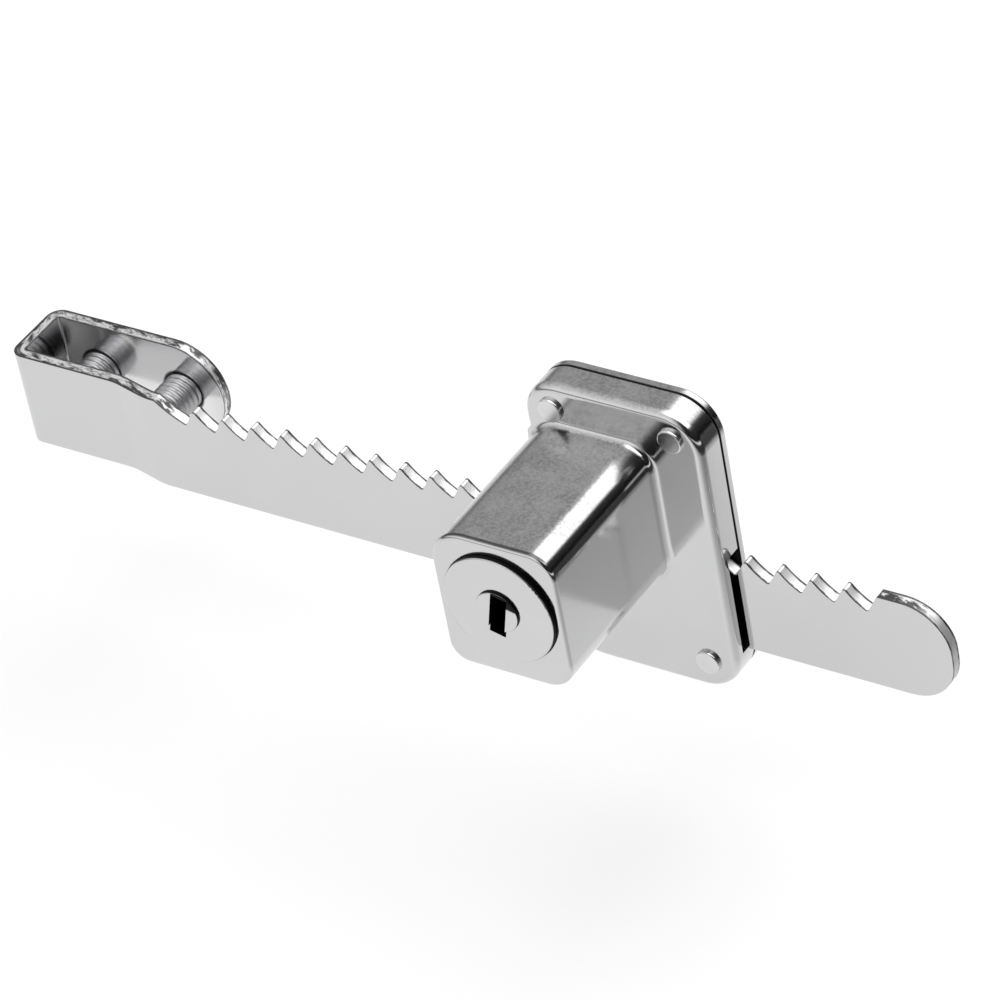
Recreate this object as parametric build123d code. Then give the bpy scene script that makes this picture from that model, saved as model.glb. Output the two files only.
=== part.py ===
from build123d import *
import math
import os

# Display case lock: a ratchet bar that hooks on the edge of a sliding glass door, and a keyed
# lock body that slides along the bar until it stops against the edge of the other door.
# Frame: the origin is the middle of the hook's channel where the glass edge seats.
# +X runs along the bar to its free end, +Y points away from the person with the key, +Z is up.
# All sizes are in millimetres.

# Ratchet bar, one folded strip
strip_t = 1.5
bar_height = 12.5
channel_gap = 6.5
hook_bend_inside_r = 0.3
hook_back_reach = 22.25
joggle_start_x = 13.85
joggle_length = 5.2
joggle_offset = 1.25
joggle_bend_r = 8.0
bar_reach = 123.2
free_end_r = 5.6
free_end_flat = 2.0

# Saw teeth along the bar's top edge
tooth_pitch = 4.05
tooth_depth = 2.45
tooth_lean = 1.35
ramp_hollow = 0.22
tooth_edge_r = 0.3
first_gullet_x = 24.35

# Set screws through the hook's back wall
screw_r = 2.45
screw_hole_clearance = 0.05
screw_length = 7.0
screw_chamfer = 0.4
first_screw_x = 4.9
screw_from_hook_end = 5.55
driver_slot_w = 0.9
driver_slot_depth = 1.5
pad_r = 1.6
pad_t = 0.8
pad_stub_r = 0.9
pad_stub_length = 1.1
pad_clearance = 0.05
pad_reach = 4.85

# Lock housing: a square boss on a flat flange, flush with the flange's left side
boss_width = 15.65
boss_height = 18.0
boss_depth = 20.05
boss_top_left_r = 4.6
boss_top_right_r = 3.0
boss_bottom_right_r = 3.5
boss_bottom_left_r = 2.4
boss_edge_r = 0.55
boss_root_r = 0.8
boss_above_bar_bottom = 9.2
flange_right_of_boss = 6.55
flange_above_boss = 5.25
flange_below_bar = 5.25
flange_corner_r = 4.7
flange_front_wall = 1.5
flange_edge_r = 1.0
body_middle_from_gullet = 0.8
gullet_under_pawl = 15

# Space for the bar and the pawl between the housing and the cover
bar_front_clearance = 0.75
bar_back_clearance = 0.12
bar_side_clearance = 0.3
cavity_top_wall = 2.95
cover_t = 1.05
cover_edge_r = 0.2
housing_back_edge = 0.2

# Lock plug
plug_right_of_middle = 0.225
plug_above_middle = 0.55
plug_head_wall = 0.975
plug_head_length = 2.65
plug_proud = 0.65
plug_shoulder = 1.25
plug_clearance = 0.08
plug_edge_r = 0.25
key_tilt = 13.0
key_boss_r = 2.6
key_boss_height = 0.35
key_boss_edge_r = 0.15
key_slot_w = 2.0
key_slot_right_of_axis = 0.15
key_slot_up = 2.2
key_slot_down = 3.4
key_slot_end_wall = 4.5

# Drive stud on the plug's rear end, and the pawl that it lifts
stud_r = 1.5
stud_throw = 1.8
stud_angle = 45.0
stud_slot_play = 0.1
pawl_to_rivet = 1.6
pawl_t = 1.8
pawl_front_clearance = 0.13
pawl_side_clearance = 0.15
pawl_tooth_clearance = 0.2
pawl_top_space = 4.3
pawl_spring_r = 0.7
pawl_spring_wire_r = 0.15
pawl_spring_turns = 7
pawl_spring_pocket = 2.2

# Snap ring that keeps the plug in its bore
clip_t = 0.75
clip_groove_depth = 0.75
clip_rim = 0.7
clip_clearance = 0.05
clip_pocket_depth = 1.4
clip_pocket_clearance = 0.3
clip_opening_deg = 60.0

# Wafers, each with its own spring
wafer_count = 5
wafer_t = 0.7
wafer_pitch = 2.5
wafer_first_y_from_face = 6.0
wafer_width = 6.6
wafer_slot_clearance = 0.05
wafer_rim_clearance = 0.1
wafer_throw = 0.8
wafer_window_w = 2.3
wafer_window_height = 5.3
wafer_cuts = [0.2, -0.3, 0.45, -0.1, 0.3]
wafer_notch_w = 1.4
wafer_shoulder = -0.6
wafer_groove_clearance = 0.15
wafer_spring_r = 0.38
wafer_spring_wire_r = 0.1
wafer_spring_turns = 4
wafer_spring_floor = -3.5

# Rivets through the housing and the cover
rivet_shank_r = 0.7
rivet_hole_clearance = 0.05
rivet_head_r = 1.5
rivet_head_height = 0.45
rivet_head_edge_r = 0.2
rivet_seat_clearance = 0.1
rivet_inset_side = 3.6
rivet_inset_top = 3.3
rivet_inset_bottom = 3.9
rivet_rear_r = 1.2
rivet_rear_depth = 0.5

# Places that follow from the sizes above
bar_top = bar_height / 2
bar_bottom = -bar_height / 2
front_wall_y = -(channel_gap + strip_t) / 2
back_wall_y = (channel_gap + strip_t) / 2
bar_mid_y = front_wall_y - joggle_offset
bar_front_y = bar_mid_y - strip_t / 2
bar_back_y = bar_mid_y + strip_t / 2
gullet_z = bar_top - tooth_depth
tooth_run = bar_reach - free_end_r - free_end_flat - tooth_lean - first_gullet_x
gullet_count = int(tooth_run / tooth_pitch) + 1
screw_xs = [first_screw_x, hook_back_reach - screw_from_hook_end]

joint_y = bar_back_y + bar_back_clearance
cover_back_y = joint_y + cover_t
cavity_front_y = bar_front_y - bar_front_clearance
flange_front_y = cavity_front_y - flange_front_wall
boss_front_y = flange_front_y - boss_depth

pawl_gullet_x = first_gullet_x + gullet_under_pawl * tooth_pitch
flange_width = boss_width + flange_right_of_boss
body_mid_x = pawl_gullet_x + body_middle_from_gullet
body_left_x = body_mid_x - flange_width / 2
body_right_x = body_mid_x + flange_width / 2
boss_bottom_z = bar_bottom + boss_above_bar_bottom
boss_mid_x = body_left_x + boss_width / 2
boss_mid_z = boss_bottom_z + boss_height / 2
flange_bottom_z = bar_bottom - flange_below_bar
flange_top_z = boss_bottom_z + boss_height + flange_above_boss
flange_height = flange_top_z - flange_bottom_z
flange_mid_z = (flange_bottom_z + flange_top_z) / 2
plug_x = boss_mid_x + plug_right_of_middle
plug_z = boss_mid_z + plug_above_middle

plug_head_r = boss_width / 2 - plug_head_wall
plug_body_r = plug_head_r - plug_shoulder
plug_face_y = boss_front_y - plug_proud
key_boss_face_y = plug_face_y - key_boss_height
head_seat_y = plug_face_y + plug_head_length
bore_r = plug_body_r + plug_clearance
plug_rear_y = cavity_front_y - clip_clearance
key_slot_end_y = plug_rear_y - key_slot_end_wall
clip_pocket_y = cavity_front_y - clip_pocket_depth
clip_front_y = clip_pocket_y + clip_clearance
clip_inner_r = plug_body_r - clip_groove_depth
clip_outer_r = plug_body_r + clip_rim
groove_reach = plug_body_r - wafer_rim_clearance + wafer_throw + wafer_groove_clearance

stud_dx = stud_throw * math.cos(math.radians(stud_angle))
stud_dz = stud_throw * math.sin(math.radians(stud_angle))
pawl_lift = 2 * stud_dz
pawl_front_y = cavity_front_y + pawl_front_clearance
pawl_back_y = pawl_front_y + pawl_t
pawl_tip_z = gullet_z + pawl_tooth_clearance + pawl_lift
pawl_width = flange_width - 2 * (rivet_inset_side + pawl_to_rivet)
pawl_mid_x = pawl_gullet_x + tooth_lean / 2
cavity_top_z = flange_top_z - cavity_top_wall
pawl_top_z = cavity_top_z - pawl_top_space

screw_tip_y = channel_gap / 2 - pad_reach + pad_t + pad_clearance


def slab(outline, y_front, y_back):
    """A flat outline drawn in X and Z, made solid from y_front to y_back."""
    return extrude(Plane.XZ.offset(-y_back) * outline, y_back - y_front)


def rod(r, x, z, y_front, y_back):
    """A round bar or bore along Y."""
    return slab(Pos(x, z) * Circle(r), y_front, y_back)


def box_between(x0, x1, y0, y1, z0, z1):
    """A block between two values on each axis."""
    middle = Pos((x0 + x1) / 2, (y0 + y1) / 2, (z0 + z1) / 2)
    return middle * Box(x1 - x0, y1 - y0, z1 - z0)


def rounded_outline(width, height, corner_radii):
    """A rectangle about its middle; each corner has its own radius, listed with its signs."""
    outline = Rectangle(width, height)
    for side, level, r in corner_radii:
        corner = outline.vertices().sort_by_distance((side * width / 2, level * height / 2, 0))[0]
        outline = fillet(corner, r)
    return outline


def saw_edge(first_x, low_z, count):
    """Points of the saw teeth from the first gullet on: gullet, tip, gullet, tip."""
    points = []
    for k in range(count):
        gullet_x = first_x + k * tooth_pitch
        points.append((gullet_x, low_z))
        points.append((gullet_x + tooth_lean, low_z + tooth_depth))
    return points


def bar_side_outline():
    """The bar seen from the front: teeth on top and a rounded free end."""
    left_x = -2 * strip_t
    first_tip_x = first_gullet_x - tooth_pitch
    points = [(first_tip_x, bar_top)] + saw_edge(first_gullet_x, gullet_z, gullet_count)
    edges = []
    for k in range(gullet_count):
        tip = points[2 * k]
        gullet = points[2 * k + 1]
        next_tip = points[2 * k + 2]
        run = math.dist(tip, gullet)
        hollow_x = (tip[0] + gullet[0]) / 2 - ramp_hollow * (tip[1] - gullet[1]) / run
        hollow_z = (tip[1] + gullet[1]) / 2 - ramp_hollow * (gullet[0] - tip[0]) / run
        edges.append(ThreePointArc(tip, (hollow_x, hollow_z), gullet))
        edges.append(Line(gullet, next_tip))
    edges.append(Line(points[-1], (bar_reach, bar_top)))
    edges.append(Line((bar_reach, bar_top), (bar_reach, bar_bottom)))
    edges.append(Line((bar_reach, bar_bottom), (left_x, bar_bottom)))
    edges.append(Line((left_x, bar_bottom), (left_x, bar_top)))
    edges.append(Line((left_x, bar_top), (first_tip_x, bar_top)))
    outline = make_face(edges)
    tooth_corners = outline.vertices().filter_by(
        lambda v: first_tip_x - 1e-6 < v.X < bar_reach - 1e-6 and v.Y > gullet_z - 1e-6
    )
    outline = fillet(tooth_corners, tooth_edge_r)
    end_corners = outline.vertices().filter_by(lambda v: abs(v.X - bar_reach) < 1e-6)
    return fillet(end_corners, free_end_r)


def hook_back_outline():
    """The hook's back wall seen from the front, with its half-round end."""
    end_r = bar_height / 2
    straight = hook_back_reach - end_r + 2 * strip_t
    block = Pos(straight / 2 - 2 * strip_t, 0) * Rectangle(straight, bar_height)
    return block + Pos(hook_back_reach - end_r, 0) * Circle(end_r)


def make_ratchet_bar():
    """The strip is bent to its path first, and then cut to its outline from the front."""
    bend_r = hook_bend_inside_r + strip_t / 2
    joggle_end_x = joggle_start_x + joggle_length
    path = FilletPolyline(
        (hook_back_reach + strip_t, back_wall_y),
        (-strip_t / 2, back_wall_y),
        (-strip_t / 2, front_wall_y),
        (joggle_start_x, front_wall_y),
        (joggle_end_x, bar_mid_y),
        (bar_reach + strip_t, bar_mid_y),
        radius=[bend_r, bend_r, joggle_bend_r, joggle_bend_r],
    )
    section = Plane(path @ 0, x_dir=(0, 0, 1), z_dir=path % 0) * Rectangle(bar_height, strip_t)
    strip = sweep(section, path=path)
    front_cut = slab(bar_side_outline(), bar_front_y - strip_t, 0)
    back_cut = slab(hook_back_outline(), 0, back_wall_y + 2 * strip_t)
    bar = strip & (front_cut + back_cut)
    hole_r = screw_r + screw_hole_clearance
    for x in screw_xs:
        bar -= rod(hole_r, x, 0, 0, back_wall_y + 2 * strip_t)
    return bar


def make_set_screw(x):
    """A headless screw with a driver slot in its rear end and a socket for the pad in its tip."""
    rear_y = screw_tip_y + screw_length
    screw = rod(screw_r, x, 0, screw_tip_y, rear_y)
    screw = chamfer(screw.edges().filter_by(GeomType.CIRCLE), screw_chamfer)
    screw -= box_between(
        x - screw_r, x + screw_r, rear_y - driver_slot_depth, rear_y,
        -driver_slot_w / 2, driver_slot_w / 2,
    )
    socket_y = screw_tip_y + pad_stub_length + pad_clearance
    return screw - rod(pad_stub_r + pad_clearance, x, 0, screw_tip_y, socket_y)


def make_screw_pad(x):
    """A plastic pad that turns in the screw's tip and bears on the glass."""
    face_y = screw_tip_y - pad_clearance - pad_t
    pad = rod(pad_r, x, 0, face_y, face_y + pad_t)
    pad = fillet(pad.edges().group_by(Axis.Y)[0], pad_t / 4)
    return pad + rod(pad_stub_r, x, 0, face_y + pad_t, screw_tip_y + pad_stub_length)


def rivet_places():
    """The four corners of the flange, in X and Z."""
    for x in (body_left_x + rivet_inset_side, body_right_x - rivet_inset_side):
        for z in (flange_bottom_z + rivet_inset_bottom, flange_top_z - rivet_inset_top):
            yield x, z


def flange_outline():
    """The flange's outline from the front; the cover has the same one."""
    corners = RectangleRounded(flange_width, flange_height, flange_corner_r)
    return Pos(body_mid_x, flange_mid_z) * corners


def boss_outline(grow=0):
    """The boss's outline from the front, flush with the flange's left side."""
    corner_radii = [
        (-1, 1, boss_top_left_r + grow),
        (1, 1, boss_top_right_r + grow),
        (1, -1, boss_bottom_right_r + grow),
        (-1, -1, boss_bottom_left_r + grow),
    ]
    outline = rounded_outline(boss_width + 2 * grow, boss_height + 2 * grow, corner_radii)
    return Pos(boss_mid_x, boss_mid_z) * outline


def make_boss():
    """The boss with its rounded root, trimmed flush with the flange's left side."""
    boss = slab(boss_outline(), boss_front_y, joint_y)
    boss = fillet(boss.faces().sort_by(Axis.Y)[0].edges(), boss_edge_r)
    root_plate = slab(boss_outline(3 * boss_root_r), flange_front_y, cavity_front_y)
    boss += root_plate
    root_edges = boss.edges().filter_by(
        lambda e: abs(e.center().Y - flange_front_y) < 1e-4
        and abs(e.center().X - boss_mid_x) < boss_width / 2 + 1e-4
        and abs(e.center().Z - boss_mid_z) < boss_height / 2 + 1e-4
    )
    boss = fillet(root_edges, boss_root_r)
    keep = slab(boss_outline(boss_root_r) & flange_outline(), boss_front_y, joint_y)
    return boss & keep


def wafer_groove():
    """One lengthwise groove in the plug's bore, which a raised wafer enters."""
    width = wafer_width + 2 * wafer_groove_clearance
    return Pos(0, groove_reach / 2) * Rectangle(width, groove_reach)


def in_plug(outline, turn=0):
    """Places an outline drawn about the plug's axis, with its Y along the key slot."""
    return Pos(plug_x, plug_z) * Rot(0, 0, -key_tilt - turn) * outline


def make_lock_housing():
    """The die-cast housing: flange, boss, plug bore, and the space for the bar and the pawl."""
    flange = slab(flange_outline(), flange_front_y, joint_y)
    flange = fillet(flange.faces().sort_by(Axis.Y)[0].edges(), flange_edge_r)
    flange = chamfer(flange.faces().sort_by(Axis.Y)[-1].edges(), housing_back_edge)
    housing = flange + make_boss()

    head_bore_r = plug_head_r + plug_clearance
    housing -= rod(head_bore_r, plug_x, plug_z, plug_face_y, head_seat_y + plug_clearance)
    housing -= rod(bore_r, plug_x, plug_z, boss_front_y, cavity_front_y)
    clip_pocket_r = clip_outer_r + clip_pocket_clearance
    housing -= rod(clip_pocket_r, plug_x, plug_z, clip_pocket_y, cavity_front_y)
    groove_front_y = plug_face_y + wafer_first_y_from_face - 2 * wafer_t
    for turn in (0, 90):
        housing -= slab(in_plug(wafer_groove(), turn), groove_front_y, clip_pocket_y)

    channel_bottom = bar_bottom - bar_side_clearance
    channel_top = bar_top + bar_side_clearance
    housing -= box_between(
        body_left_x - strip_t, body_right_x + strip_t, cavity_front_y, joint_y,
        channel_bottom, channel_top,
    )
    half_width = pawl_width / 2 + pawl_side_clearance
    housing -= box_between(
        pawl_mid_x - half_width, pawl_mid_x + half_width, cavity_front_y, joint_y,
        0, cavity_top_z,
    )
    hole_r = rivet_shank_r + rivet_hole_clearance
    seat_r = rivet_head_r + rivet_seat_clearance
    for x, z in rivet_places():
        housing -= rod(hole_r, x, z, flange_front_y, joint_y)
        housing -= rod(seat_r, x, z, flange_front_y - boss_root_r, flange_front_y)
    return housing


def make_rear_cover():
    """The flat plate that closes the housing behind the bar."""
    cover = slab(flange_outline(), joint_y, cover_back_y)
    cover = fillet(cover.faces().sort_by(Axis.Y)[-1].edges(), cover_edge_r)
    cover = chamfer(cover.faces().sort_by(Axis.Y)[0].edges(), housing_back_edge)
    for x, z in rivet_places():
        cover -= rod(rivet_shank_r + rivet_hole_clearance, x, z, joint_y, cover_back_y)
        cover -= rivet_tail(x, z, rivet_hole_clearance)
    return cover


def rivet_tail(x, z, grow=0):
    """The flush cone that a rivet's rear end fills in the cover, larger by grow for its seat."""
    tail = Cone(rivet_shank_r + grow, rivet_rear_r + grow, rivet_rear_depth)
    return Pos(x, cover_back_y - rivet_rear_depth / 2, z) * Rot(-90, 0, 0) * tail


def make_rivet(x, z):
    """A rivet with a low flat head in front and a flush countersunk tail."""
    shank = rod(rivet_shank_r, x, z, flange_front_y, cover_back_y)
    head = rod(rivet_head_r, x, z, flange_front_y - rivet_head_height, flange_front_y)
    head = fillet(head.edges().group_by(Axis.Y)[0], rivet_head_edge_r)
    return shank + head + rivet_tail(x, z)


def wafer_ys():
    """The middle of each wafer's thickness, from the front wafer to the rear one."""
    return [plug_face_y + wafer_first_y_from_face + k * wafer_pitch for k in range(wafer_count)]


def spring_column_x():
    """The middle of the spring's notch, across the key slot."""
    return -wafer_width / 2 + wafer_notch_w / 2


def wafer_slot_outline():
    """A plug slot: open at both ends, but floored under the spring."""
    half_width = wafer_width / 2 + wafer_slot_clearance
    reach = 2 * plug_body_r
    notch_x = -wafer_width / 2 + wafer_notch_w - wafer_slot_clearance
    through = Pos((notch_x + half_width) / 2, 0) * Rectangle(half_width - notch_x, reach)
    above = reach / 2 - wafer_spring_floor
    spring_side = Pos((notch_x - half_width) / 2, wafer_spring_floor + above / 2)
    return through + spring_side * Rectangle(notch_x + half_width, above)


def key_slot_outline():
    """The straight key slot, longer below the plug's axis than above it."""
    height = key_slot_up + key_slot_down
    middle_up = (key_slot_up - key_slot_down) / 2
    return Pos(key_slot_right_of_axis, middle_up) * Rectangle(key_slot_w, height)


def make_lock_plug():
    """The turning plug, with its head, key slot, wafer slots, ring groove and drive stud."""
    head = rod(plug_head_r, plug_x, plug_z, plug_face_y, head_seat_y)
    head = fillet(head.edges().group_by(Axis.Y)[0], plug_edge_r)
    key_boss = rod(key_boss_r, plug_x, plug_z, key_boss_face_y, head_seat_y)
    key_boss = fillet(key_boss.edges().group_by(Axis.Y)[0], key_boss_edge_r)
    plug = head + key_boss + rod(plug_body_r, plug_x, plug_z, head_seat_y, plug_rear_y)
    plug -= slab(in_plug(key_slot_outline()), key_boss_face_y, key_slot_end_y)
    for y in wafer_ys():
        half_t = wafer_t / 2 + wafer_slot_clearance
        plug -= slab(in_plug(wafer_slot_outline()), y - half_t, y + half_t)
        plug -= spring_well(y)
    groove_back_y = clip_front_y + clip_t + clip_clearance
    ring = Circle(plug_body_r + plug_clearance) - Circle(clip_inner_r)
    groove = slab(Pos(plug_x, plug_z) * ring, clip_front_y - clip_clearance, groove_back_y)
    plug -= groove
    stud_x = plug_x + stud_dx
    stud_z = plug_z + stud_dz
    return plug + rod(stud_r, stud_x, stud_z, plug_rear_y, pawl_back_y)


def along_key_slot(y, across, along):
    """A place in the plug, measured across and along the key slot from the plug's axis."""
    return Pos(plug_x, y, plug_z) * Rot(0, key_tilt, 0) * Pos(across, 0, along)


def spring_well(y):
    """The drilled well that guides a wafer's spring."""
    well_r = wafer_spring_r + wafer_spring_wire_r + wafer_slot_clearance
    depth = plug_body_r - wafer_spring_floor
    align = (Align.CENTER, Align.CENTER, Align.MIN)
    well = Cylinder(well_r, depth, align=align)
    return along_key_slot(y, spring_column_x(), wafer_spring_floor) * well


def make_wafer(y, cut):
    """A flat wafer with a key window and a shoulder that its spring pushes on."""
    blank = Circle(plug_body_r - wafer_rim_clearance) & Rectangle(wafer_width, 4 * plug_body_r)
    window = Pos(0, cut) * Rectangle(wafer_window_w, wafer_window_height)
    below = 2 * plug_body_r
    notch = Pos(spring_column_x(), wafer_shoulder - below / 2) * Rectangle(wafer_notch_w, below)
    return slab(in_plug(blank - window - notch), y - wafer_t / 2, y + wafer_t / 2)


def make_coil(r, wire_r, length, turns):
    """A coil spring standing on the XY plane."""
    rise = length - 2 * wire_r
    line = Helix(pitch=rise / turns, height=rise, radius=r)
    section = Plane(line @ 0, z_dir=line % 0) * Circle(wire_r)
    return Pos(0, 0, wire_r) * sweep(section, path=line, is_frenet=True)


def make_wafer_spring(y):
    """The spring that pushes one wafer out of the plug."""
    length = wafer_shoulder - wafer_spring_floor - 2 * clip_clearance
    coil = make_coil(wafer_spring_r, wafer_spring_wire_r, length, wafer_spring_turns)
    return along_key_slot(y, spring_column_x(), wafer_spring_floor + clip_clearance) * coil


def make_plug_clip():
    """A snap ring with an open side, in the plug's rear groove."""
    ring = Circle(clip_outer_r) - Circle(clip_inner_r + clip_clearance)
    reach = 2 * clip_outer_r
    half = math.radians(clip_opening_deg / 2)
    side = (reach * math.cos(half), reach * math.sin(half))
    opening = make_face(Polyline((0, 0), side, (side[0], -side[1]), close=True))
    return slab(Pos(plug_x, plug_z) * (ring - opening), clip_front_y, clip_front_y + clip_t)


def make_pawl():
    """The toothed plate that the plug's stud lifts off the bar, drawn lifted."""
    reach = int(pawl_width / tooth_pitch)
    teeth = saw_edge(pawl_gullet_x - reach * tooth_pitch, pawl_tip_z, 2 * reach + 1)
    over = [(teeth[-1][0], pawl_top_z), (teeth[0][0], pawl_top_z)]
    outline = make_face(Polyline(*teeth, *over, close=True))
    outline &= Pos(pawl_mid_x, pawl_top_z) * Rectangle(pawl_width, 2 * pawl_top_z)
    tips = outline.vertices().filter_by(lambda v: abs(v.Y - pawl_tip_z) < 1e-6)
    outline = fillet(tips, tooth_edge_r)
    slot_r = stud_r + stud_slot_play
    slot_run = stud_throw - stud_dx + 2 * stud_slot_play
    slot_x = plug_x + (stud_throw + stud_dx) / 2
    outline -= Pos(slot_x, plug_z + stud_dz) * SlotOverall(slot_run + 2 * slot_r, 2 * slot_r)
    pocket_w = 2 * (pawl_spring_r + pawl_spring_wire_r) + 2 * pawl_side_clearance
    pocket = Rectangle(pocket_w, 2 * pawl_spring_pocket)
    outline -= Pos(pawl_mid_x, pawl_top_z) * pocket
    return slab(outline, pawl_front_y, pawl_back_y)


def make_pawl_spring():
    """The spring that pushes the pawl down on the bar's teeth, drawn compressed."""
    seat_z = pawl_top_z - pawl_spring_pocket
    length = cavity_top_z - seat_z - 2 * clip_clearance
    coil = make_coil(pawl_spring_r, pawl_spring_wire_r, length, pawl_spring_turns)
    return Pos(pawl_mid_x, (pawl_front_y + pawl_back_y) / 2, seat_z + clip_clearance) * coil


parts = {
    "ratchet_bar": make_ratchet_bar(),
    "lock_housing": make_lock_housing(),
    "rear_cover": make_rear_cover(),
    "lock_plug": make_lock_plug(),
    "plug_clip": make_plug_clip(),
    "pawl": make_pawl(),
    "pawl_spring": make_pawl_spring(),
}
for number, screw_x in enumerate(screw_xs, start=1):
    parts[f"set_screw_{number}"] = make_set_screw(screw_x)
    parts[f"screw_pad_{number}"] = make_screw_pad(screw_x)
for number, (rivet_x, rivet_z) in enumerate(rivet_places(), start=1):
    parts[f"rivet_{number}"] = make_rivet(rivet_x, rivet_z)
for number, (wafer_y, wafer_cut) in enumerate(zip(wafer_ys(), wafer_cuts), start=1):
    parts[f"wafer_{number}"] = make_wafer(wafer_y, wafer_cut)
    parts[f"wafer_spring_{number}"] = make_wafer_spring(wafer_y)

os.makedirs("parts", exist_ok=True)
for name, solid in parts.items():
    solid.label = name
    export_step(solid, f"parts/{name}.step")
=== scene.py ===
import math

import bmesh
import bpy
from bpy.props import FloatProperty, FloatVectorProperty, IntProperty, PointerProperty
from mathutils import Matrix, Vector


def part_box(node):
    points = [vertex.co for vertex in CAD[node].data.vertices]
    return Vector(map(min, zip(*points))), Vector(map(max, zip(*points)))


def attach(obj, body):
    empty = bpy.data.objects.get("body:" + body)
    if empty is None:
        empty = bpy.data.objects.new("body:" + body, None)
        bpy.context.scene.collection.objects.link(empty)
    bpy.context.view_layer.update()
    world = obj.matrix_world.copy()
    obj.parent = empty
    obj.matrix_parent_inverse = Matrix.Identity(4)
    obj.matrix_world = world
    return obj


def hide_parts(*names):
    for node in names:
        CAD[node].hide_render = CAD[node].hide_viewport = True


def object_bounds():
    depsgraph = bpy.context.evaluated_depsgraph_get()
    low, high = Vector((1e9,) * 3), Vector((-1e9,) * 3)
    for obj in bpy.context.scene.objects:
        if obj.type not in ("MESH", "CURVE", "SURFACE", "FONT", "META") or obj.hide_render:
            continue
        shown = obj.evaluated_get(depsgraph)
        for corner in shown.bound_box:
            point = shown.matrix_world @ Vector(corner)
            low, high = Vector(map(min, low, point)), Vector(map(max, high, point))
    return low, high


bl_info = {
    "name": "Display case lock finishes",
    "version": (1, 0, 0),
    "blender": (4, 5, 0),
    "location": "3D Viewport > Sidebar > Display Case Lock",
    "description": "Plating, threads and a small studio for a ratchet lock of a display case",
    "category": "Object",
}

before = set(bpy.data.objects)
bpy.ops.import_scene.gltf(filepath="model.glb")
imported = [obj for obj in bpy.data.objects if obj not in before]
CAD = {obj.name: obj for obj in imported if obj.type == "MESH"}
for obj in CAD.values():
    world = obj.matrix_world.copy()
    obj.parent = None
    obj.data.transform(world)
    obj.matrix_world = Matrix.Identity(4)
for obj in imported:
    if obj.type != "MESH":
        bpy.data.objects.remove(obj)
CAD_BOX = [list(corner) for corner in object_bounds()]

MM = 0.001

# Places and sizes on the CAD pieces, which the finishes and the threaded screws follow
STRIP_T = 1.5 * MM
HOOK_BEND_R = 1.05 * MM
HOOK_FADE_START_X = 20 * MM
HOOK_FADE_END_X = 24 * MM
JOGGLE_START_X = 13.85 * MM
JOGGLE_END_X = 19.05 * MM
TEETH_START_X = 22 * MM
TEETH_END_X = 114.6 * MM
SCREW_R = 2.45 * MM
SCREW_CHAMFER = 0.4 * MM
KEY_TILT = math.radians(13)
KEY_RIM_R = 2.6 * MM

# Spacing of the plug's turning rings, and rows of mesh points in one pitch of the thread
TURNING_PITCH = 0.11 * MM
ROWS_PER_PITCH = 12

# The castings' painted dark lines: how far the painted reflection on the top's front edge lies
# behind the front, and the half width of the painted shade in the joint
FRONT_EDGE_INSET = 0.38 * MM
JOINT_HALF_WIDTH = 0.16 * MM

# Reflected levels of the dark tones: the painted shade lines on the sheared edges, which also
# darken their streaks, the painted shade round the screw holes, the painted dark reflection along
# the castings' top front edge, the painted shade in the joint and on the plug's sides, and the
# table strip that the plating reflects
SHEARED_DARK = 0.08
HOLE_RIM_DARK = 0.04
FRONT_EDGE_DARK = 0.03
JOINT_DARK = 0.02
PLUG_DARK = 0.01
TABLE_DARK = 0.04

# The studio, with its places and sizes in metres
SHEET_END_X = 0.105
SHEET_FADE = 0.08
SHEET_EDGE_SLOPE = 0.88
SHEET_EDGE_Y = (-0.078, -0.066)
TABLE_END_X = (0.4, 0.5)
TABLE_END_SLOPE = 0.3
TABLE_END_Y = (-0.05, 0.0)
FLOOR_DROP = 0.02
FLOOR_GLOW_SHARE = 0.6
SOFTBOX_SIZE = (1.12, 1.2)
SOFTBOX_PLACE = (0.4, 0.25, 0.75)
SOFTBOX_RADIANCE = 2.4
CAMERA_PLACE = (0.37549, -0.38317, 0.38129)

WAFERS = [f"wafer_{number}" for number in range(1, 6)]
WAFER_SPRINGS = [f"wafer_spring_{number}" for number in range(1, 6)]
RIVETS = [f"rivet_{number}" for number in range(1, 5)]
SCREWS = ["set_screw_1", "set_screw_2"]
PADS = ["screw_pad_1", "screw_pad_2"]


def middle(node):
    """The middle of a CAD node's box at rest."""
    low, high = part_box(node)
    return (low + high) / 2


# Shader graphs


class Signal:
    """A shader socket that can stand in an arithmetic expression."""

    def __init__(self, graph, socket):
        self.graph = graph
        self.socket = socket

    def math(self, operation, *values):
        inputs = {index: value for index, value in enumerate((self, *values))}
        return self.graph.add("ShaderNodeMath", {"operation": operation}, inputs)

    def flipped(self, operation, value):
        return self.graph.add("ShaderNodeMath", {"operation": operation}, {0: value, 1: self})

    def __add__(self, other):
        return self.math("ADD", other)

    def __radd__(self, other):
        return self.flipped("ADD", other)

    def __sub__(self, other):
        return self.math("SUBTRACT", other)

    def __rsub__(self, other):
        return self.flipped("SUBTRACT", other)

    def __mul__(self, other):
        return self.math("MULTIPLY", other)

    def __rmul__(self, other):
        return self.flipped("MULTIPLY", other)

    def __truediv__(self, other):
        return self.math("DIVIDE", other)

    def __rtruediv__(self, other):
        return self.flipped("DIVIDE", other)

    def clamped(self):
        return self.math("MINIMUM", 1.0).math("MAXIMUM", 0.0)

    def ramp(self, low, high):
        """Zero below low, one above high, and straight between them."""
        return ((self - low) / (high - low)).clamped()

    def near(self, level, width, fade):
        """One within width of a level, falling to zero over fade."""
        return 1.0 - (self - level).math("ABSOLUTE").ramp(width, width + fade)


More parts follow.
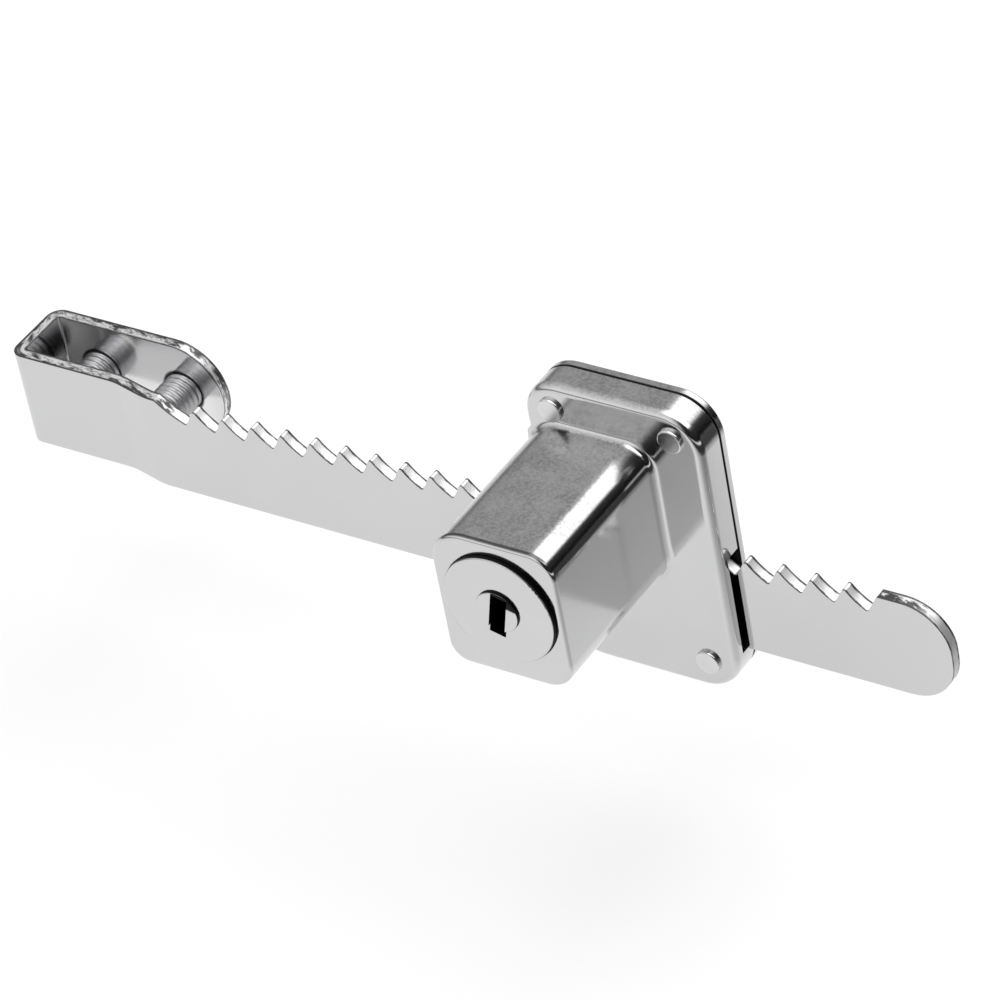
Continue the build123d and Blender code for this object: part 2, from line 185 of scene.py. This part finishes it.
class Graph:
    """The node tree of one finish. add() makes any node from its type, settings and inputs."""

    def __init__(self, tree):
        self.tree = tree
        tree.nodes.clear()

    def add(self, kind, settings=None, inputs=None, output=0):
        node = self.tree.nodes.new(kind)
        for name, value in (settings or {}).items():
            setattr(node, name, value)
        for name, value in (inputs or {}).items():
            if isinstance(value, Signal):
                self.tree.links.new(value.socket, node.inputs[name])
            else:
                node.inputs[name].default_value = value
        return Signal(self, node.outputs[output] if node.outputs else None)

    def place(self):
        """Where a point of the piece lies, in metres."""
        return self.add("ShaderNodeTexCoord", output="Object")

    def parts_of(self, vector):
        """The X, Y and Z of a vector."""
        node = self.add("ShaderNodeSeparateXYZ", inputs={0: vector}).socket.node
        return [Signal(self, node.outputs[axis]) for axis in range(3)]

    def facing(self):
        """The X, Y and Z of the direction that the surface faces on the piece itself."""
        normal = self.add("ShaderNodeTexCoord", output="Normal")
        return self.parts_of(normal)

    def grain(self, scale, detail=2.0, roughness=0.5, stretch=(1.0, 1.0, 1.0)):
        """Fractal noise from 0 to 1; scale is in cycles for each millimetre."""
        stretched = self.add(
            "ShaderNodeVectorMath", {"operation": "MULTIPLY"}, {0: self.place(), 1: stretch}
        )
        return self.add(
            "ShaderNodeTexNoise",
            inputs={
                "Vector": stretched,
                "Scale": scale / MM,
                "Detail": detail,
                "Roughness": roughness,
            },
        )

    def blend(self, factor, first, second):
        """A colour between two colours."""
        return self.add(
            "ShaderNodeMix", {"data_type": "RGBA"}, {0: factor, 6: first, 7: second}, output=2
        )

    def bump(self, height, depth):
        """The normal of a surface whose height runs from 0 to depth, in millimetres."""
        return self.add(
            "ShaderNodeBump", inputs={"Strength": 1.0, "Distance": depth * MM, "Height": height}
        )

    def surface(self, **sockets):
        """The finish's shader, with its sockets named in words."""
        names = {word.replace("_", " ").title(): value for word, value in sockets.items()}
        shader = self.add("ShaderNodeBsdfPrincipled", inputs=names)
        self.add("ShaderNodeOutputMaterial", inputs={"Surface": shader})


def new_finish(name):
    """A new material and its empty graph."""
    material = bpy.data.materials.new(name)
    material.use_nodes = True
    return material, Graph(material.node_tree)


def coat(nodes, material):
    """Gives a finish to CAD nodes."""
    for name in nodes:
        mesh = CAD[name].data
        mesh.materials.clear()
        mesh.materials.append(material)


def grey(level):
    return (level, level, level, 1.0)


def tint(colour, level=1.0):
    return tuple(channel * level for channel in colour) + (1.0,)


# Sizes and colours that a user would change


class LockSizes(bpy.types.PropertyGroup):
    """Sizes of the pieces that are finer than the construction model."""

    thread_pitch: FloatProperty(
        name="Thread pitch",
        description="Rise of the set screws' thread in one turn",
        default=0.8 * MM,
        min=0.2 * MM,
        unit="LENGTH",
    )
    thread_depth: FloatProperty(
        name="Thread depth",
        description="Height of the set screws' thread from root to crest",
        default=0.22 * MM,
        min=0.05 * MM,
        unit="LENGTH",
    )
    driver_slot_width: FloatProperty(
        name="Driver slot width",
        description="Width of the slot in the rear end of a set screw",
        default=0.9 * MM,
        unit="LENGTH",
    )
    driver_slot_depth: FloatProperty(
        name="Driver slot depth",
        description="Depth of the slot in the rear end of a set screw",
        default=1.5 * MM,
        unit="LENGTH",
    )
    steps_per_turn: IntProperty(
        name="Steps per turn",
        description="Faces around one turn of the thread",
        default=64,
        min=12,
    )


class LockColours(bpy.types.PropertyGroup):
    """Colours of the finishes."""

    chrome: FloatVectorProperty(
        name="Chrome",
        description="Reflected colour of the bright plating",
        default=(0.62, 0.62, 0.625),
        size=3,
        subtype="COLOR",
    )
    sheared_edge: FloatVectorProperty(
        name="Sheared edge",
        description="Reflected colour of the strip's plated but rough sheared edge",
        default=(0.9, 0.9, 0.9),
        size=3,
        subtype="COLOR",
    )
    rivet_plating: FloatVectorProperty(
        name="Rivet plating",
        description="Reflected colour of the rivet heads",
        default=(0.7, 0.7, 0.705),
        size=3,
        subtype="COLOR",
    )
    zinc: FloatVectorProperty(
        name="Zinc",
        description="Reflected colour of the set screws",
        default=(0.46, 0.46, 0.47),
        size=3,
        subtype="COLOR",
    )
    nylon: FloatVectorProperty(
        name="Nylon",
        description="Colour of the pads that bear on the glass",
        default=(0.8, 0.79, 0.74),
        size=3,
        subtype="COLOR",
    )
    steel: FloatVectorProperty(
        name="Steel",
        description="Reflected colour of the pawl, the springs and the snap ring",
        default=(0.42, 0.42, 0.43),
        size=3,
        subtype="COLOR",
    )
    brass: FloatVectorProperty(
        name="Brass",
        description="Reflected colour of the wafers",
        default=(0.75, 0.56, 0.25),
        size=3,
        subtype="COLOR",
    )
    floor: FloatVectorProperty(
        name="Floor",
        description="Colour of the studio floor",
        default=(0.9, 0.9, 0.9),
        size=3,
        subtype="COLOR",
    )


def sizes():
    return bpy.context.scene.lock_sizes


def colours():
    return bpy.context.scene.lock_colours


# Finishes


def outside_middle(graph, x, y):
    """How far a point lies outside the middle of the folded strip's thickness, in metres.

    It is minus half the thickness on the hook's inner side, and plus half on its outer side.
    HOOK_BEND_R is the radius of the hook's bends at that middle.
    """
    low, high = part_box("ratchet_bar")
    web_x = low.x + STRIP_T / 2
    wall_y = high.y - STRIP_T / 2
    joggle_offset = -low.y - STRIP_T / 2 - wall_y
    in_front = y.math("LESS_THAN", 0.0)
    swing = x.ramp(JOGGLE_START_X, JOGGLE_END_X)
    unbent_y = y + in_front * swing * joggle_offset
    past_x = (web_x + HOOK_BEND_R) - x
    past_y = unbent_y.math("ABSOLUTE") - (wall_y - HOOK_BEND_R)
    over_x = past_x.math("MAXIMUM", 0.0)
    over_y = past_y.math("MAXIMUM", 0.0)
    round_corner = (over_x * over_x + over_y * over_y).math("SQRT")
    inside = past_x.math("MAXIMUM", past_y).math("MINIMUM", 0.0)
    return round_corner + inside - HOOK_BEND_R


def strip_finish():
    """Bright plating over rolled strip.

    The sheared edges are white on the teeth, torn and streaky on the hook and the free end,
    and have a thin painted shade line along both sides. Inside the hook the rear wall has
    painted light that makes it lighter, and the deep corner and the rims of the screw holes
    have painted shade.
    """
    material, graph = new_finish("plated_strip")
    chrome = colours().chrome
    sheared_edge = colours().sheared_edge
    x, y, z = graph.parts_of(graph.place())
    _, _, facing_z = graph.facing()
    outside = outside_middle(graph, x, y)
    off_middle = outside.math("ABSOLUTE")
    on_face = off_middle.ramp(STRIP_T * 0.43, STRIP_T * 0.455)
    upward = facing_z.math("ABSOLUTE")
    edge = upward.ramp(0.25, 0.5).math("MAXIMUM", 1.0 - on_face)

    along = (x + y) * 0.55
    sheared = graph.add("ShaderNodeCombineXYZ", inputs={0: along, 1: outside * 1.3, 2: z * 0.5})
    streaks = graph.add(
        "ShaderNodeTexNoise",
        inputs={"Vector": sheared, "Scale": 1.3 / MM, "Detail": 4.0, "Roughness": 0.65},
    )
    # Painted shade: a thin dark line along both sides of the sheared edge, frayed by the streaks
    frayed = STRIP_T * 0.5 - off_middle + (streaks - 0.5) * (0.6 * MM)
    edge_shade_line = 1.0 - frayed.ramp(0.14 * MM, 0.32 * MM)
    torn_hook = 1.0 - x.ramp(TEETH_START_X, TEETH_START_X + MM)
    torn_end = x.ramp(TEETH_END_X - 0.5 * MM, TEETH_END_X) * upward.ramp(0.7, 0.95)
    torn = torn_hook.math("MAXIMUM", torn_end)
    dragged = (streaks + outside * (0.12 / MM) + torn_end * 0.08).ramp(0.45, 0.59)
    torn_colour = graph.blend(dragged, tint(sheared_edge, 0.9), grey(SHEARED_DARK))
    edge_colour = graph.blend(torn, tint(sheared_edge), torn_colour)
    edge_colour = graph.blend(edge_shade_line, edge_colour, grey(SHEARED_DARK))

    ripple = graph.grain(0.12, 3.0)
    colour = graph.blend(ripple, tint(chrome, 0.97), tint(chrome, 1.02))
    in_hook = 1.0 - x.ramp(HOOK_FADE_START_X, HOOK_FADE_END_X)
    inner = (0.0 - outside).ramp(STRIP_T * 0.4, STRIP_T * 0.48) * in_hook
    rear_inner = inner * y.ramp(2 * MM, 3 * MM)
    # Painted light: the rear wall's inner face inside the hook is made lighter
    colour = graph.blend(rear_inner, colour, tint(chrome, 1.25))
    # Painted shade: the hook's deep corner is made darker
    deep = inner * (1.0 - x.ramp(0.5 * MM, 4.5 * MM)) * (1.0 - z.ramp(-2 * MM, 9 * MM))
    colour = graph.blend(deep, colour, tint(chrome, 0.42))
    # Painted shade: a dark ring round each screw hole on the rear wall's inner face
    for node in SCREWS:
        hole = middle(node)
        across = x - hole.x
        up = z - hole.z
        radius = (across * across + up * up).math("SQRT")
        rim = rear_inner * radius.near(SCREW_R, 0.25 * MM, 0.25 * MM)
        colour = graph.blend(rim, colour, grey(HOLE_RIM_DARK))
    colour = graph.blend(edge, colour, edge_colour)

    scratches = graph.grain(2.0, 3.0, stretch=(0.06, 1.0, 1.0)).ramp(0.55, 0.8)
    roughness = 0.05 + ripple * 0.03 + scratches * 0.04 + inner * 0.06 + edge * 0.4
    normal = graph.bump(streaks * edge, 0.03)
    graph.surface(base_color=colour, metallic=1.0, roughness=roughness, normal=normal)
    return material


def casting_finish(name, peel_depth):
    """Bright plating over a casting, which keeps the casting's fine orange peel.

    It is duller and speckled on top, with painted shade that darkens the top and a painted dark
    reflection along the top's front edge, and has painted shade in the joint between the housing
    and the cover.
    """
    material, graph = new_finish(name)
    chrome = colours().chrome
    front_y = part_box("lock_housing")[0].y
    joint_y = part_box("rear_cover")[0].y
    _, y, _ = graph.parts_of(graph.place())
    _, _, facing_z = graph.facing()
    peel = graph.grain(3.2, 3.0, 0.6)
    cloud = graph.grain(0.15, 2.0)
    patch = graph.grain(0.26, 4.0, 0.65).ramp(0.42, 0.58)
    speckle = graph.grain(2.8, 3.0, 0.7).ramp(0.42, 0.6)
    on_top = facing_z.ramp(0.5, 0.95)
    # Painted shade darkens the top faces, with a speckle that varies its tone at random
    top_shade_and_speckle = (0.25 + speckle * (0.22 + patch * 0.15) + patch * 0.1) * on_top
    colour = graph.blend(cloud, tint(chrome, 0.96), tint(chrome, 1.03))
    colour = graph.blend(top_shade_and_speckle, colour, tint(chrome, 0.35))
    # Painted dark reflection along the top's front edge
    front_line = y.near(front_y + FRONT_EDGE_INSET, 0.1 * MM, 0.16 * MM)
    front_edge = front_line * facing_z.ramp(0.55, 0.8)
    colour = graph.blend(front_edge * 0.85, colour, grey(FRONT_EDGE_DARK))
    # Painted shade in the joint between the housing and the cover
    joint = y.near(joint_y, JOINT_HALF_WIDTH, 0.08 * MM)
    colour = graph.blend(joint, colour, grey(JOINT_DARK))
    roughness = 0.09 + cloud * 0.06 + on_top * 0.13 + joint * 0.4
    normal = graph.bump(peel, peel_depth)
    graph.surface(base_color=colour, metallic=1.0, roughness=roughness, normal=normal)
    return material


def turned_finish():
    """Bright plating over a turned face, with fine rings about the plug's axis.

    It is dull on the sides of the head, of the key rim and of the key slot, and has painted
    shade there. The rim's face has painted shade too, between the slot and the rim's upper right
    edge.
    """
    material, graph = new_finish("turned_plug")
    chrome = colours().chrome
    centre = middle("lock_plug")
    x, _, z = graph.parts_of(graph.place())
    _, facing_y, _ = graph.facing()
    across = x - centre.x
    up = z - centre.z
    radius = (across * across + up * up).math("SQRT")
    rings = (radius * (2 * math.pi / TURNING_PITCH)).math("SINE")
    cloud = graph.grain(0.2, 2.0)
    side = 1.0 - facing_y.math("ABSOLUTE").ramp(0.45, 0.8)
    off_slot = across * math.cos(KEY_TILT) - up * math.sin(KEY_TILT)
    along_slot = across * math.sin(KEY_TILT) + up * math.cos(KEY_TILT)
    past_left_wall = off_slot.ramp(-0.9 * MM, -0.8 * MM)
    above_middle = along_slot.ramp(1.05 * MM, 1.25 * MM)
    on_rim = 1.0 - radius.ramp(KEY_RIM_R - 0.05 * MM, KEY_RIM_R)
    dark_corner = past_left_wall * above_middle * on_rim
    colour = graph.blend(cloud, tint(chrome, 0.97), tint(chrome, 1.04))
    # Painted shade on the sides of the head, the key rim and the key slot, and on the rim's face
    # by the slot
    colour = graph.blend(side.math("MAXIMUM", dark_corner), colour, grey(PLUG_DARK))
    roughness = 0.1 + cloud * 0.06 + side * 0.4
    normal = graph.bump(rings * 0.5 + 0.5, 0.0006)
    graph.surface(base_color=colour, metallic=1.0, roughness=roughness, normal=normal)
    return material


def metal_finish(name, colour, roughness, scale, depth, stretch=(1.0, 1.0, 1.0)):
    """Plain metal with a fine grain, for the rivets, screws, springs and inner pieces."""
    material, graph = new_finish(name)
    grain = graph.grain(scale, 3.0, stretch=stretch)
    base = graph.blend(grain, tint(colour, 0.85), tint(colour, 1.1))
    normal = graph.bump(grain, depth)
    graph.surface(
        base_color=base, metallic=1.0, roughness=roughness + grain * 0.15, normal=normal
    )
    return material


def nylon_finish():
    """Natural nylon, slightly cloudy."""
    material, graph = new_finish("nylon")
    cloud = graph.grain(0.8, 2.0)
    base = graph.blend(cloud, tint(colours().nylon, 0.95), tint(colours().nylon, 1.04))
    graph.surface(base_color=base, metallic=0.0, roughness=0.4 + cloud * 0.15)
    return material


# Meshes


def add_piece(name, mesh, body, replaced):
    """Puts a new mesh in the scene, on its body, in place of a CAD node."""
    piece = bpy.data.objects.new(name, mesh)
    bpy.context.scene.collection.objects.link(piece)
    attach(piece, body)
    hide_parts(replaced)


def thread_radius(share, crest_r, depth):
    """The thread's radius at a share of one pitch: crest, flank, root and flank."""
    crest = 0.14
    root = 0.2
    flank = (1 - crest - root) / 2
    share = share % 1.0
    if share < crest:
        return crest_r
    if share < crest + flank:
        return crest_r - depth * (share - crest) / flank
    if share < crest + flank + root:
        return crest_r - depth
    return crest_r - depth * (1 - share) / flank


def threaded_rod(crest_r, length, chamfer, pitch, depth, steps):
    """A closed rod along Y from 0 to length, with a helical thread and chamfered ends."""
    shape = bmesh.new()
    rows = []
    row_count = round(length / (pitch / ROWS_PER_PITCH))
    for row in range(row_count + 1):
        y = length * row / row_count
        end_r = crest_r - chamfer + min(y, length - y)
        ring = []
        for step in range(steps):
            angle = 2 * math.pi * step / steps
            r = min(thread_radius(y / pitch + step / steps, crest_r, depth), end_r)
            ring.append(shape.verts.new((r * math.cos(angle), y, r * math.sin(angle))))
        rows.append(ring)
    for lower, upper in zip(rows, rows[1:]):
        for step in range(steps):
            after = (step + 1) % steps
            shape.faces.new((lower[step], upper[step], upper[after], lower[after]))
    shape.faces.new(rows[0])
    shape.faces.new(reversed(rows[-1]))
    bmesh.ops.recalc_face_normals(shape, faces=shape.faces)
    mesh = bpy.data.meshes.new("threaded_rod")
    shape.to_mesh(mesh)
    shape.free()
    return mesh


def cut_box(mesh, low, high):
    """Cuts a block out of a mesh and returns the new mesh."""
    solid = bpy.data.objects.new("cut_solid", mesh)
    block_mesh = bpy.data.meshes.new("cut_block")
    shape = bmesh.new()
    bmesh.ops.create_cube(shape, size=1.0)
    span = Vector(high) - Vector(low)
    place = Matrix.Translation((Vector(high) + Vector(low)) / 2) @ Matrix.Diagonal((*span, 1))
    bmesh.ops.transform(shape, matrix=place, verts=shape.verts)
    shape.to_mesh(block_mesh)
    shape.free()
    block = bpy.data.objects.new("cut_block", block_mesh)
    for piece in (solid, block):
        bpy.context.scene.collection.objects.link(piece)
    cut = solid.modifiers.new("cut", "BOOLEAN")
    cut.operation = "DIFFERENCE"
    cut.object = block
    cut.solver = "EXACT"
    bpy.context.view_layer.update()
    graph = bpy.context.evaluated_depsgraph_get()
    result = bpy.data.meshes.new_from_object(solid.evaluated_get(graph))
    for piece in (solid, block):
        bpy.data.objects.remove(piece)
    return result


def smooth(mesh, angle=35.0):
    """Shades a mesh smooth except over edges sharper than the angle."""
    mesh.shade_smooth()
    mesh.set_sharp_from_angle(angle=math.radians(angle))


# Operators, one for each piece or group of like pieces


class LOCK_OT_ratchet_bar(bpy.types.Operator):
    """Plates the ratchet bar"""

    bl_idname = "lock.ratchet_bar"
    bl_label = "Ratchet bar"

    def execute(self, context):
        coat(["ratchet_bar"], strip_finish())
        return {"FINISHED"}


class LOCK_OT_housing(bpy.types.Operator):
    """Plates the lock housing"""

    bl_idname = "lock.housing"
    bl_label = "Lock housing"

    def execute(self, context):
        coat(["lock_housing"], casting_finish("plated_casting", peel_depth=0.0022))
        return {"FINISHED"}


class LOCK_OT_rear_cover(bpy.types.Operator):
    """Plates the rear cover"""

    bl_idname = "lock.rear_cover"
    bl_label = "Rear cover"

    def execute(self, context):
        coat(["rear_cover"], casting_finish("plated_cover", peel_depth=0.0015))
        return {"FINISHED"}


class LOCK_OT_plug(bpy.types.Operator):
    """Plates the lock plug"""

    bl_idname = "lock.plug"
    bl_label = "Lock plug"

    def execute(self, context):
        coat(["lock_plug"], turned_finish())
        return {"FINISHED"}


class LOCK_OT_rivets(bpy.types.Operator):
    """Plates the rivets"""

    bl_idname = "lock.rivets"
    bl_label = "Rivets"

    def execute(self, context):
        plating = colours().rivet_plating
        finish = metal_finish("plated_rivet", plating, roughness=0.16, scale=0.6, depth=0.0004)
        coat(RIVETS, finish)
        return {"FINISHED"}


class LOCK_OT_inner_steel(bpy.types.Operator):
    """Finishes the pawl, the snap ring and the springs"""

    bl_idname = "lock.inner_steel"
    bl_label = "Pawl, ring and springs"

    def execute(self, context):
        steel = colours().steel
        stamped = metal_finish("stamped_steel", steel, roughness=0.25, scale=1.2, depth=0.004)
        coat(["pawl"], stamped)
        ring = metal_finish("ring_steel", steel, roughness=0.3, scale=2.0, depth=0.003)
        coat(["plug_clip"], ring)
        wire = metal_finish(
            "drawn_wire", steel, roughness=0.2, scale=3.0, depth=0.002, stretch=(1.0, 1.0, 0.3)
        )
        coat(["pawl_spring", *WAFER_SPRINGS], wire)
        return {"FINISHED"}


class LOCK_OT_wafers(bpy.types.Operator):
    """Finishes the brass wafers"""

    bl_idname = "lock.wafers"
    bl_label = "Wafers"

    def execute(self, context):
        brass = colours().brass
        finish = metal_finish("stamped_brass", brass, roughness=0.25, scale=1.5, depth=0.003)
        coat(WAFERS, finish)
        return {"FINISHED"}


class LOCK_OT_set_screws(bpy.types.Operator):
    """Builds the threaded set screws in place of the plain ones"""

    bl_idname = "lock.set_screws"
    bl_label = "Set screws"

    def execute(self, context):
        given = sizes()
        zinc = colours().zinc
        finish = metal_finish("zinc_plated", zinc, roughness=0.36, scale=1.5, depth=0.003)
        coat(SCREWS, finish)
        for number, node in enumerate(SCREWS, start=1):
            low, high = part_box(node)
            crest_r = (high.x - low.x) / 2
            length = high.y - low.y
            mesh = threaded_rod(
                crest_r,
                length,
                SCREW_CHAMFER,
                given.thread_pitch,
                given.thread_depth,
                given.steps_per_turn,
            )
            half = given.driver_slot_width / 2
            mesh = cut_box(
                mesh,
                (-2 * crest_r, length - given.driver_slot_depth, -half),
                (2 * crest_r, length + MM, half),
            )
            centre = middle(node)
            mesh.transform(Matrix.Translation((centre.x, low.y, centre.z)))
            smooth(mesh)
            mesh.materials.append(finish)
            add_piece(f"threaded_screw_{number}", mesh, node, node)
        return {"FINISHED"}


class LOCK_OT_screw_pads(bpy.types.Operator):
    """Finishes the nylon pads"""

    bl_idname = "lock.screw_pads"
    bl_label = "Screw pads"

    def execute(self, context):
        coat(PADS, nylon_finish())
        return {"FINISHED"}


class LOCK_OT_stage(bpy.types.Operator):
    """Builds the floor, the soft light, the room and the camera"""

    bl_idname = "lock.stage"
    bl_label = "Studio"

    def execute(self, context):
        build_floor()
        build_softbox()
        build_room()
        build_camera()
        context.scene.view_settings.view_transform = "Standard"
        return {"FINISHED"}


def build_floor():
    """A floor that the camera sees as white all over.

    All other rays see a white sheet under the lock that ends to its right, with a dark strip of
    table past its slanting edge, so the plating reflects that strip.
    """
    material, graph = new_finish("studio_floor")
    rays = graph.add("ShaderNodeLightPath").socket.node
    camera_ray = Signal(graph, rays.outputs["Is Camera Ray"])
    glossy_ray = Signal(graph, rays.outputs["Is Glossy Ray"])
    x, y, _ = graph.parts_of(graph.place())
    behind = (y - x * SHEET_EDGE_SLOPE).ramp(*SHEET_EDGE_Y)
    near_side = 1.0 - (y - x * TABLE_END_SLOPE).ramp(*TABLE_END_Y)
    far_right = x.ramp(*TABLE_END_X) * near_side
    beside = x.ramp(SHEET_END_X, SHEET_END_X + SHEET_FADE) * (1.0 - behind) * (1.0 - far_right)
    past_sheet = beside * (1.0 - camera_ray)
    sheet = graph.blend(past_sheet, tint(colours().floor), grey(TABLE_DARK))
    paint = graph.add("ShaderNodeBsdfDiffuse", inputs={"Color": sheet})
    white = graph.blend(past_sheet, grey(1.0), grey(TABLE_DARK))
    glow = graph.add("ShaderNodeEmission", inputs={"Color": white, "Strength": 1.0})
    seen = camera_ray.math("MAXIMUM", glossy_ray) * FLOOR_GLOW_SHARE
    mixed = graph.add("ShaderNodeMixShader", inputs={0: seen, 1: paint, 2: glow})
    graph.add("ShaderNodeOutputMaterial", inputs={"Surface": mixed})
    mesh = bpy.data.meshes.new("floor")
    shape = bmesh.new()
    bmesh.ops.create_grid(shape, x_segments=1, y_segments=1, size=2.5)
    shape.to_mesh(mesh)
    shape.free()
    mesh.materials.append(material)
    floor = bpy.data.objects.new("floor", mesh)
    floor.location = (0, 0, CAD_BOX[0][2] - FLOOR_DROP)
    bpy.context.scene.collection.objects.link(floor)


def build_softbox():
    """One large soft light overhead, with its middle to the +X and +Y side of the lock."""
    lamp = bpy.data.lights.new("softbox", "AREA")
    lamp.shape = "RECTANGLE"
    lamp.size, lamp.size_y = SOFTBOX_SIZE
    lamp.energy = SOFTBOX_RADIANCE * math.pi * lamp.size * lamp.size_y
    softbox = bpy.data.objects.new("softbox", lamp)
    softbox.location = SOFTBOX_PLACE
    bpy.context.scene.collection.objects.link(softbox)


def build_room():
    """The room round the table: pale to the left, dark to the right, with a dark skirting.

    The camera sees it as white, and all other rays see its tones.
    """
    world = bpy.data.worlds.new("studio_room")
    world.use_nodes = True
    graph = Graph(world.node_tree)
    direction = graph.add("ShaderNodeTexCoord", output="Generated")
    x, y, z = graph.parts_of(direction)
    left = 1.0 - x.ramp(-0.1, 0.35)
    skirting = z.near(0.0, 0.1, 0.15)
    level = (0.025 + left * (0.76 - y * 0.44)) * (1.0 - skirting * 0.75)
    rays = graph.add("ShaderNodeLightPath").socket.node
    camera_ray = Signal(graph, rays.outputs["Is Camera Ray"])
    level = level.math("MAXIMUM", camera_ray)
    background = graph.add("ShaderNodeBackground", inputs={"Color": level, "Strength": 1.0})
    graph.add("ShaderNodeOutputWorld", inputs={"Surface": background})
    bpy.context.scene.world = world


def build_camera():
    """The camera at the photograph's angle."""
    data = bpy.data.cameras.new("camera")
    data.lens = 202.3
    data.sensor_width = 36.0
    data.clip_start = 0.01
    camera = bpy.data.objects.new("camera", data)
    right = Vector((0.83507, 0.52784, -0.15506))
    up = Vector((-0.22734, 0.58775, 0.77645))
    back = Vector((0.50097, -0.61314, 0.61081))
    turn = Matrix((right, up, back)).transposed().to_4x4()
    camera.matrix_world = Matrix.Translation(CAMERA_PLACE) @ turn
    bpy.context.scene.collection.objects.link(camera)
    bpy.context.scene.camera = camera


OPERATORS = [
    LOCK_OT_ratchet_bar,
    LOCK_OT_housing,
    LOCK_OT_rear_cover,
    LOCK_OT_plug,
    LOCK_OT_rivets,
    LOCK_OT_inner_steel,
    LOCK_OT_wafers,
    LOCK_OT_set_screws,
    LOCK_OT_screw_pads,
    LOCK_OT_stage,
]


class LOCK_PT_sidebar(bpy.types.Panel):
    """Lists the lock's sizes, colours and pieces"""

    bl_idname = "LOCK_PT_sidebar"
    bl_label = "Display Case Lock"
    bl_space_type = "VIEW_3D"
    bl_region_type = "UI"
    bl_category = "Display Case Lock"

    def draw(self, context):
        layout = self.layout
        for group in (context.scene.lock_sizes, context.scene.lock_colours):
            box = layout.box()
            for name in group.__annotations__:
                box.prop(group, name)
        for operator in OPERATORS:
            layout.operator(operator.bl_idname)


CLASSES = [LockSizes, LockColours, *OPERATORS, LOCK_PT_sidebar]


def register():
    for added in CLASSES:
        bpy.utils.register_class(added)
    bpy.types.Scene.lock_sizes = PointerProperty(type=LockSizes)
    bpy.types.Scene.lock_colours = PointerProperty(type=LockColours)


def unregister():
    del bpy.types.Scene.lock_colours
    del bpy.types.Scene.lock_sizes
    for added in reversed(CLASSES):
        bpy.utils.unregister_class(added)


def main():
    register()
    bpy.ops.lock.ratchet_bar()
    bpy.ops.lock.housing()
    bpy.ops.lock.rear_cover()
    bpy.ops.lock.plug()
    bpy.ops.lock.rivets()
    bpy.ops.lock.inner_steel()
    bpy.ops.lock.wafers()
    bpy.ops.lock.set_screws()
    bpy.ops.lock.screw_pads()
    bpy.ops.lock.stage()


if __name__ == "__main__":
    main()
